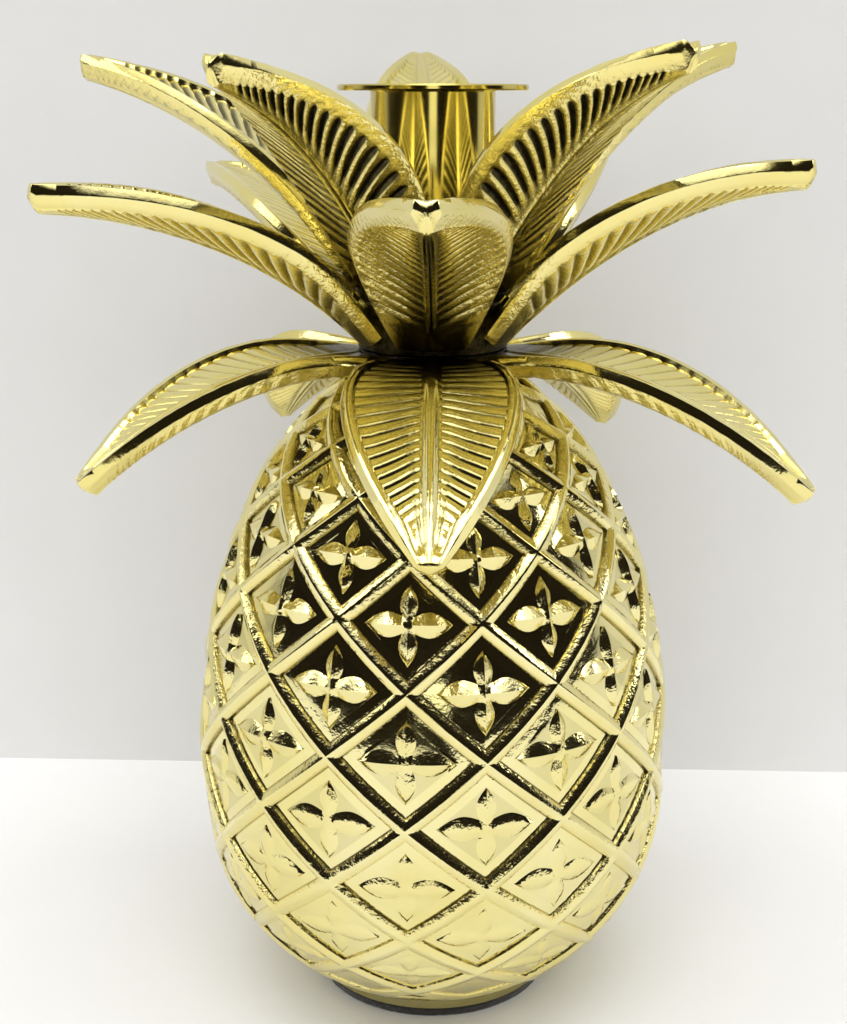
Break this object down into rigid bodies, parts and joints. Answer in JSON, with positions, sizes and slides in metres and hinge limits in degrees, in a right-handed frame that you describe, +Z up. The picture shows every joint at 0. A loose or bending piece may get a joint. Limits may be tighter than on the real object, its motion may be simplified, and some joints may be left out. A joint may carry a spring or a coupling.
{
  "type": "pineapple candle holder",
  "caption": "Cast metal pineapple that stands upright and holds a taper candle in a cup among its crown of leaves.",
  "frame": {"origin": "centre of the underside of the base pad, on the surface that the object stands on", "axes": "+Z up along the axis of the body and the candle; the side that the picture shows faces -Y"},
  "size_m": [0.1674, 0.1655, 0.2226],
  "materials": {
    "felt": "black felt",
    "body_brass": "polished and lightly speckled cast brass",
    "leaf_brass": "polished cast brass, darker in the ribs",
    "cup_brass": "turned and polished brass"
  },
  "bodies": {
    "root": {"base_pad": "felt", "body": "body_brass", "lower_leaves": "leaf_brass", "middle_leaves": "leaf_brass", "upper_leaves": "leaf_brass", "candle_cup": "cup_brass"}
  },
  "joints": []
}
